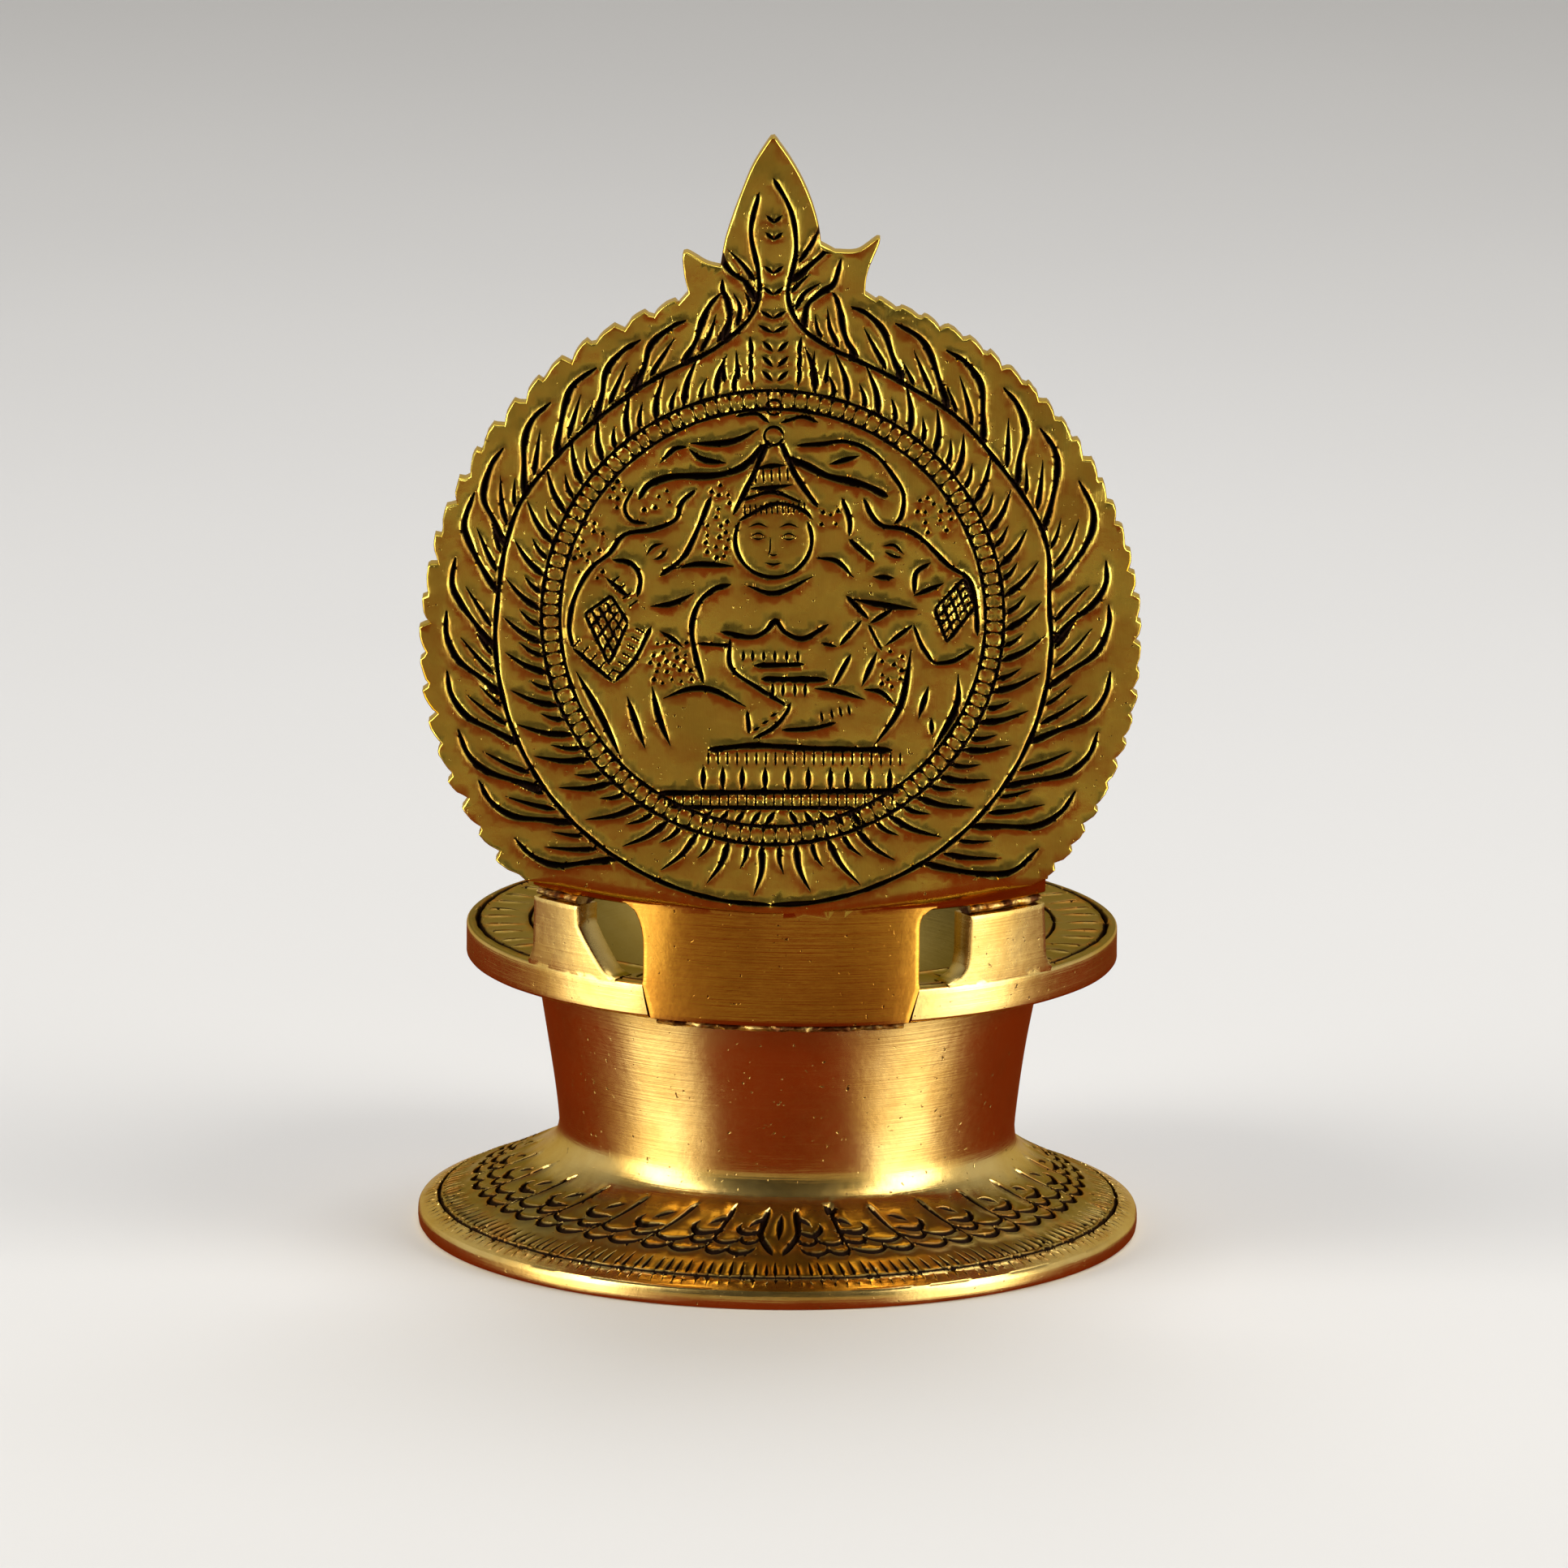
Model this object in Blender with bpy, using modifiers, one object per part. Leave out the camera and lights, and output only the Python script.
"""A small cast-brass oil lamp: flared hollow foot, round oil bowl and an upright toothed back plate.

Metres, +Z up. The origin is on the surface that the lamp stands on, at the centre of its foot.
The back plate faces -Y and the wick beak of the bowl points to +Y.
"""

import math

import bmesh
import bpy

MM = 0.001

# Foot: one casting, a waisted drum on a flared disc, hollow from below
FOOT_RADIUS = 44.0 * MM
FOOT_EDGE_HEIGHT = 2.3 * MM
DRUM_TOP_Z = 33.3 * MM
DRUM_TOP_RADIUS = 31.0 * MM
WAIST_Z = 12.6 * MM
WAIST_RADIUS = 27.8 * MM
DRUM_WALL = 1.8 * MM
DRUM_SHIFT_X = 1.0 * MM  # the drum stands off the centre of its own disc

# Bowl: a shallow pan with a flat rim, and two posts that stand on the front of the rim
RIM_CENTRE_X = 1.4 * MM
RIM_RADIUS = 39.6 * MM
RIM_TOP_Z = 37.7 * MM
RIM_BOTTOM_Z = 33.6 * MM
BOWL_MOUTH_RADIUS = 31.0 * MM
BOWL_DEPTH = 12.0 * MM
BOWL_WALL = 1.6 * MM
RIM_EDGE_ROUND = 0.45 * MM
BEAK_TIP_Y = 43.6 * MM
BEAK_WIDTH = 13.0 * MM
WICK_GROOVE_WIDTH = 6.0 * MM
WICK_GROOVE_DEPTH = 1.8 * MM

# Collar between the rim and the back plate; angles run from the front, towards +X
COLLAR_WALL = 3.7 * MM
LEFT_POST = (-51.5, -37.5)
RIGHT_POST = (33.9, 49.7)
TONGUE = (-26.7, 22.6)
POST_TOP_Z = 45.9 * MM
SHELF_BOTTOM_Z = 47.1 * MM
SHELF_TOP_Z = 50.4 * MM

# Back plate: a flat toothed disc with a leaf finial, cut off by a shallow arc at the bottom
PLATE_FRONT_Y = -39.7 * MM
PLATE_THICKNESS = 3.2 * MM
PLATE_CENTRE_X = -0.35 * MM
PLATE_CENTRE_Z = 79.9 * MM
PLATE_RADIUS = 42.5 * MM
PLATE_CORNER_X = 29.8 * MM
PLATE_CORNER_Z = 51.0 * MM
PLATE_SAG = 3.8 * MM
LEFT_TEETH = (23, 1.2 * MM)  # how many, and how deep; the right side is finer and more worn
RIGHT_TEETH = (30, 0.8 * MM)
FINIAL = (  # from its left foot over the tip to its right foot, x and z in millimetres
    (-11.5, 121.5), (-12.0, 126.3), (-7.8, 124.6), (-7.3, 127.6), (-6.4, 130.6), (-5.4, 133.4),
    (-4.2, 136.4), (-2.6, 139.1), (-1.8, 140.0), (-1.0, 139.1), (0.4, 137.1), (1.7, 134.8),
    (2.8, 132.2), (3.6, 129.4), (3.9, 127.4), (5.6, 126.5), (10.8, 128.2), (9.1, 121.6),
)

GAP = 0.3 * MM  # clearance that touching pieces keep
BRAZE_THICKNESS = 0.6 * MM
TURNED_STEPS = 64
SHELF_STEPS = 12

BRASS = (0.62, 0.43, 0.15)
BRAZE = (0.72, 0.58, 0.25)


def clear_scene():
    for item in list(bpy.data.objects):
        bpy.data.objects.remove(item, do_unlink=True)


def new_collection(name):
    collection = bpy.data.collections.new(name)
    bpy.context.scene.collection.children.link(collection)
    return collection


def metal(name, colour, roughness):
    material = bpy.data.materials.new(name)
    material.use_nodes = True
    shader = material.node_tree.nodes["Principled BSDF"]
    shader.inputs["Base Color"].default_value = (*colour, 1.0)
    shader.inputs["Metallic"].default_value = 1.0
    shader.inputs["Roughness"].default_value = roughness
    return material


def add_object(name, data, collection):
    item = bpy.data.objects.new(name, data)
    collection.objects.link(item)
    return item


def as_mesh(item, collection):
    """Replaces an object by its evaluated mesh, welded, facing out and in the same place."""
    bpy.context.view_layer.update()
    evaluated = item.evaluated_get(bpy.context.evaluated_depsgraph_get())
    mesh = bpy.data.meshes.new_from_object(evaluated)
    place = item.matrix_world.copy()
    name = item.name
    bpy.data.objects.remove(item, do_unlink=True)
    body = bmesh.new()
    body.from_mesh(mesh)
    bmesh.ops.remove_doubles(body, verts=body.verts, dist=1e-6)
    bmesh.ops.recalc_face_normals(body, faces=body.faces)
    body.to_mesh(mesh)
    body.free()
    solid = add_object(name, mesh, collection)
    solid.matrix_world = place
    return solid


def turned(name, profile, collection, steps=TURNED_STEPS):
    """A solid of revolution about Z. The closed profile runs down its outer side, top to bottom."""
    mesh = bpy.data.meshes.new(name)
    body = bmesh.new()
    corners = [body.verts.new((radius, 0.0, z)) for radius, z in profile]
    on_axis = profile[0][0] == 0.0 and profile[-1][0] == 0.0
    for first, second in zip(corners, corners[1:]):
        body.edges.new((first, second))
    if not on_axis:
        body.edges.new((corners[-1], corners[0]))
    body.to_mesh(mesh)
    body.free()
    item = add_object(name, mesh, collection)
    screw = item.modifiers.new("Turn", "SCREW")
    screw.axis = "Z"
    screw.angle = math.tau
    screw.steps = steps
    screw.render_steps = steps
    screw.use_merge_vertices = True
    screw.merge_threshold = 0.00001
    return as_mesh(item, collection)


def extruded(name, outline, low, high, collection):
    """A flat outline in X and Y, standing from height low to height high."""
    curve = bpy.data.curves.new(name, "CURVE")
    curve.dimensions = "2D"
    curve.fill_mode = "BOTH"
    curve.extrude = (high - low) / 2
    spline = curve.splines.new("POLY")
    spline.points.add(len(outline) - 1)
    for point, (x, y) in zip(spline.points, outline):
        point.co = (x, y, 0.0, 1.0)
    spline.use_cyclic_u = True
    item = add_object(name, curve, collection)
    item.location = (0.0, 0.0, (low + high) / 2)
    return as_mesh(item, collection)


def collar_outline(inner, outer, first, last, steps):
    """Plan of a stretch of the collar wall between two angles in degrees."""
    angles = [math.radians(first + (last - first) * step / steps) for step in range(steps + 1)]
    front = [(RIM_CENTRE_X + outer * math.sin(a), -outer * math.cos(a)) for a in angles]
    back = [(RIM_CENTRE_X + inner * math.sin(a), -inner * math.cos(a)) for a in reversed(angles)]
    return front + back


def boolean(item, tool, operation, solver="EXACT"):
    modifier = item.modifiers.new(operation.title() + " " + tool.name, "BOOLEAN")
    modifier.operation = operation
    modifier.solver = solver
    modifier.object = tool
    tool.hide_render = True
    tool.display_type = "WIRE"


def finish(item, material):
    item.data.materials.clear()
    item.data.materials.append(material)
    item.data.shade_smooth()
    item.data.set_sharp_from_angle(angle=math.radians(35))


def smooth_step(value):
    value = min(max(value, 0.0), 1.0)
    return value * value * (3.0 - 2.0 * value)


def drum_radius(z):
    """Outer radius of the drum: it widens from the waist to the top in a slow curve."""
    share = (z - WAIST_Z) / (DRUM_TOP_Z - WAIST_Z)
    return WAIST_RADIUS + (DRUM_TOP_RADIUS - WAIST_RADIUS) * share ** 1.25


def make_foot(parts, brass):
    levels = [DRUM_TOP_Z + (WAIST_Z - DRUM_TOP_Z) * step / 5 for step in range(6)]
    drum = [(drum_radius(z), z) for z in levels]
    fillet = [(28.1 * MM, 10.9 * MM), (29.0 * MM, 9.6 * MM), (30.4 * MM, 8.6 * MM)]
    disc = [(36.0 * MM, 5.6 * MM), (40.0 * MM, 3.8 * MM), (43.3 * MM, FOOT_EDGE_HEIGHT + 0.2 * MM)]
    edge = [(FOOT_RADIUS, FOOT_EDGE_HEIGHT - 0.5 * MM), (FOOT_RADIUS - 0.2 * MM, 0.0)]
    under = [(40.2 * MM, 0.0), (39.4 * MM, 1.3 * MM), (34.8 * MM, 3.4 * MM), (28.8 * MM, 6.2 * MM)]
    throat = [(26.2 * MM, 8.4 * MM)]
    bore = [(drum_radius(z) - DRUM_WALL, z) for z in reversed(levels)]
    foot = turned("foot", drum + fillet + disc + edge + under + throat + bore, parts)
    disc_top = 4.0 * MM
    for vertex in foot.data.vertices:
        vertex.co.x += DRUM_SHIFT_X * smooth_step((vertex.co.z - disc_top) / (WAIST_Z - disc_top))
    finish(foot, brass)


def cap_profile(mouth_z, depth, radius, steps):
    """Points on a spherical bowl from its mouth to its lowest point on the axis."""
    sphere = (radius * radius + depth * depth) / (2.0 * depth)
    centre_z = mouth_z - depth + sphere
    reach = math.asin(radius / sphere)
    angles = [reach * (1.0 - step / steps) for step in range(steps)]
    curve = [(sphere * math.sin(a), centre_z - sphere * math.cos(a)) for a in angles]
    return curve + [(0.0, mouth_z - depth)]


def make_bowl(parts, tools, brass):
    inside = cap_profile(RIM_TOP_Z, BOWL_DEPTH, BOWL_MOUTH_RADIUS, 7)
    sphere = (BOWL_MOUTH_RADIUS ** 2 + BOWL_DEPTH ** 2) / (2.0 * BOWL_DEPTH) + BOWL_WALL
    centre_z = RIM_TOP_Z - BOWL_DEPTH - BOWL_WALL + sphere
    outer_reach = math.acos((centre_z - RIM_BOTTOM_Z) / sphere)
    angles = [outer_reach * (1.0 - step / 6) for step in range(6)]
    outside = [(sphere * math.sin(a), centre_z - sphere * math.cos(a)) for a in angles]
    rim = [
        (RIM_RADIUS - RIM_EDGE_ROUND, RIM_TOP_Z), (RIM_RADIUS, RIM_TOP_Z - RIM_EDGE_ROUND),
        (RIM_RADIUS, RIM_BOTTOM_Z + RIM_EDGE_ROUND), (RIM_RADIUS - RIM_EDGE_ROUND, RIM_BOTTOM_Z),
    ]
    low_point = [(0.0, RIM_TOP_Z - BOWL_DEPTH - BOWL_WALL)]
    profile = list(reversed(inside)) + rim + outside + low_point
    bowl = turned("oil_bowl", profile, parts)
    bowl.location.x = RIM_CENTRE_X
    inner = RIM_RADIUS - COLLAR_WALL
    root = RIM_BOTTOM_Z + 1.0 * MM
    for name, span in (("left_post_blank", LEFT_POST), ("right_post_blank", RIGHT_POST)):
        plan = collar_outline(inner, RIM_RADIUS - 0.02 * MM, *span, 5)
        boolean(bowl, extruded(name, plan, root, POST_TOP_Z, tools), "UNION")
    half = BEAK_WIDTH / 2
    right_half = (
        (1.0, BEAK_TIP_Y - 7.6 * MM), (0.9, BEAK_TIP_Y - 3.2 * MM),
        (0.6, BEAK_TIP_Y - 0.7 * MM), (0.3, BEAK_TIP_Y),
    )
    beak = [(RIM_CENTRE_X + half * share, y) for share, y in right_half]
    beak += [(RIM_CENTRE_X - half * share, y) for share, y in reversed(right_half)]
    low, high = RIM_BOTTOM_Z + 0.3 * MM, RIM_TOP_Z - 0.1 * MM
    boolean(bowl, extruded("beak_blank", beak, low, high, tools), "UNION")
    half = WICK_GROOVE_WIDTH / 2
    near, far = BOWL_MOUTH_RADIUS - 5.0 * MM, BEAK_TIP_Y + 2.4 * MM
    groove = [
        (RIM_CENTRE_X - half, near), (RIM_CENTRE_X + half, near),
        (RIM_CENTRE_X + half, far), (RIM_CENTRE_X - half, far),
    ]
    floor = RIM_TOP_Z - WICK_GROOVE_DEPTH
    boolean(bowl, extruded("wick_groove", groove, floor, RIM_TOP_Z + 2.0 * MM, tools), "DIFFERENCE")
    side_gap = math.degrees(GAP / inner)
    reach = RIM_RADIUS + 2.0 * MM
    plan = collar_outline(inner - GAP, reach, TONGUE[0] - side_gap, TONGUE[1] + side_gap, 10)
    notch = extruded("tongue_notch", plan, RIM_BOTTOM_Z - 1.0 * MM, RIM_TOP_Z + 1.0 * MM, tools)
    boolean(bowl, notch, "DIFFERENCE")
    finish(bowl, brass)


def tooth_lift(index):
    """The teeth are filed by hand, so their depth varies a little round the edge."""
    return 0.75 + 0.25 * math.sin(index * 2.399 + 0.8 * math.sin(index * 0.61))


def toothed_arc(start, end, count, depth):
    """Saw teeth along the disc, up from the start angle; each leans towards the top. Angles run from +X."""
    points = []
    for index in range(count):
        root = PLATE_RADIUS - depth * tooth_lift(index)
        for share, radius in ((0.12, root), (0.78, PLATE_RADIUS)):
            angle = start + (end - start) * (index + share) / count
            x = PLATE_CENTRE_X + radius * math.cos(angle)
            z = PLATE_CENTRE_Z + radius * math.sin(angle)
            points.append((x, z))
    return points


def plate_bottom(x):
    """Height of the plate's bottom edge, a shallow arc that hangs lowest in the middle."""
    share = (x - PLATE_CENTRE_X) / PLATE_CORNER_X
    return PLATE_CORNER_Z - PLATE_SAG * (1.0 - share * share)


def plate_outline():
    finial = [(x * MM, z * MM) for x, z in FINIAL]
    corner = math.atan2(PLATE_CORNER_Z - PLATE_CENTRE_Z, PLATE_CORNER_X)
    left_foot = math.atan2(finial[0][1] - PLATE_CENTRE_Z, finial[0][0] - PLATE_CENTRE_X)
    right_foot = math.atan2(finial[-1][1] - PLATE_CENTRE_Z, finial[-1][0] - PLATE_CENTRE_X)
    margin = math.radians(1.5)
    right_side = toothed_arc(corner + margin, right_foot - margin, *RIGHT_TEETH)
    left_side = toothed_arc(math.pi - corner - margin, left_foot + margin, *LEFT_TEETH)
    steps = 10
    width = 2 * PLATE_CORNER_X
    xs = [PLATE_CENTRE_X - PLATE_CORNER_X + width * step / steps for step in range(steps + 1)]
    return right_side + finial[::-1] + left_side[::-1] + [(x, plate_bottom(x)) for x in xs]


def make_shelf(tools):
    """The ledge that carries the plate: from the posts it reaches forward to the plate's foot."""
    inner = RIM_RADIUS - COLLAR_WALL
    outer = RIM_RADIUS - 0.05 * MM
    front_y = PLATE_FRONT_Y + 1.4 * MM  # its front lies inside the plate's thickness
    body = bmesh.new()
    sections = []
    for step in range(SHELF_STEPS + 1):
        angle = math.radians(LEFT_POST[0] + (RIGHT_POST[1] - LEFT_POST[0]) * step / SHELF_STEPS)
        back = (RIM_CENTRE_X + inner * math.sin(angle), -inner * math.cos(angle))
        face = (RIM_CENTRE_X + outer * math.sin(angle), -outer * math.cos(angle))
        lip_z = plate_bottom(face[0]) + 0.7 * MM
        corners = (
            (*back, SHELF_BOTTOM_Z), (*face, SHELF_BOTTOM_Z), (face[0], front_y, lip_z),
            (face[0], front_y, SHELF_TOP_Z + 1.6 * MM), (*back, SHELF_TOP_Z),
        )
        sections.append([body.verts.new(corner) for corner in corners])
    for one, two in zip(sections, sections[1:]):
        for index in range(len(one)):
            following = (index + 1) % len(one)
            body.faces.new((one[index], one[following], two[following], two[index]))
    body.faces.new(sections[0])
    body.faces.new(sections[-1][::-1])
    bmesh.ops.triangulate(body, faces=body.faces)
    bmesh.ops.recalc_face_normals(body, faces=body.faces)
    if body.calc_volume(signed=True) < 0:
        bmesh.ops.reverse_faces(body, faces=body.faces)
    mesh = bpy.data.meshes.new("shelf_blank")
    body.to_mesh(mesh)
    body.free()
    return add_object("shelf_blank", mesh, tools)


def make_back_plate(parts, tools, brass):
    plate = extruded("back_plate", plate_outline(), -PLATE_THICKNESS / 2, PLATE_THICKNESS / 2, parts)
    plate.rotation_euler.x = math.pi / 2
    plate.location.y = PLATE_FRONT_Y + PLATE_THICKNESS / 2
    boolean(plate, make_shelf(tools), "UNION", "MANIFOLD")
    inner = RIM_RADIUS - COLLAR_WALL
    plan = collar_outline(inner, RIM_RADIUS, *TONGUE, 10)
    boolean(plate, extruded("tongue_blank", plan, RIM_BOTTOM_Z, SHELF_TOP_Z - 0.5 * MM, tools), "UNION")
    finish(plate, brass)


def make_brazes(parts, braze):
    inner = RIM_RADIUS - COLLAR_WALL + 0.2 * MM
    outer = RIM_RADIUS - 0.1 * MM
    low = POST_TOP_Z + GAP
    for name, span in (("braze_post_left", LEFT_POST), ("braze_post_right", RIGHT_POST)):
        plan = collar_outline(inner, outer, span[0] + 0.4, span[1] - 0.4, 5)
        finish(extruded(name, plan, low, low + BRAZE_THICKNESS, parts), braze)
    plan = collar_outline(inner, outer - 0.3 * MM, TONGUE[0] + 2.0, TONGUE[1] - 2.0, 10)
    high = RIM_BOTTOM_Z - GAP
    finish(extruded("braze_tongue", plan, high - BRAZE_THICKNESS, high, parts), braze)
    seam = DRUM_TOP_RADIUS + GAP
    top = RIM_BOTTOM_Z - GAP
    profile = [
        (seam + 1.4 * MM, top), (seam + 0.9 * MM, top - 0.6 * MM),
        (seam, top - 1.5 * MM), (seam, top),
    ]
    ring = turned("braze_bowl_ring", profile, parts, 48)
    ring.location.x = DRUM_SHIFT_X
    finish(ring, braze)


def main():
    clear_scene()
    parts = new_collection("brass_oil_lamp")
    tools = new_collection("cutters")
    brass = metal("cast_brass", BRASS, 0.32)
    braze = metal("braze_metal", BRAZE, 0.55)
    make_foot(parts, brass)
    make_bowl(parts, tools, brass)
    make_back_plate(parts, tools, brass)
    make_brazes(parts, braze)


main()
